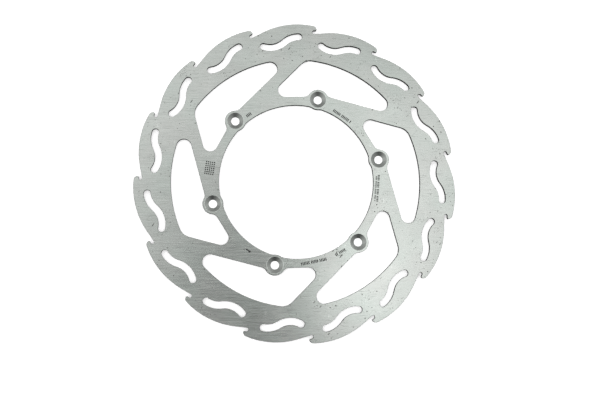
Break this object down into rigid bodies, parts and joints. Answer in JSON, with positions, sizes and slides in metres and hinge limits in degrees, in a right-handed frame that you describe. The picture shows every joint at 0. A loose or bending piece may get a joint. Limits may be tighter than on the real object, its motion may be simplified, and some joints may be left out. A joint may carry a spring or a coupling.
{
  "type": "motorcycle brake disc",
  "caption": "Flat one-piece steel brake disc with a flame-shaped rim, S-shaped slots, open windows and countersunk bolt lugs.",
  "frame": {"origin": "centre of the bolt circle, on the hub face that rests against the wheel hub", "axes": "+Z along the disc's axis, out of the countersunk face; +X through one bolt hole"},
  "size_m": [0.2587, 0.2592, 0.003],
  "materials": {
    "disc_steel": "ground flat and blasted satin, with machined countersinks"
  },
  "bodies": {
    "root": {"brake_disc": "disc_steel"}
  },
  "joints": []
}
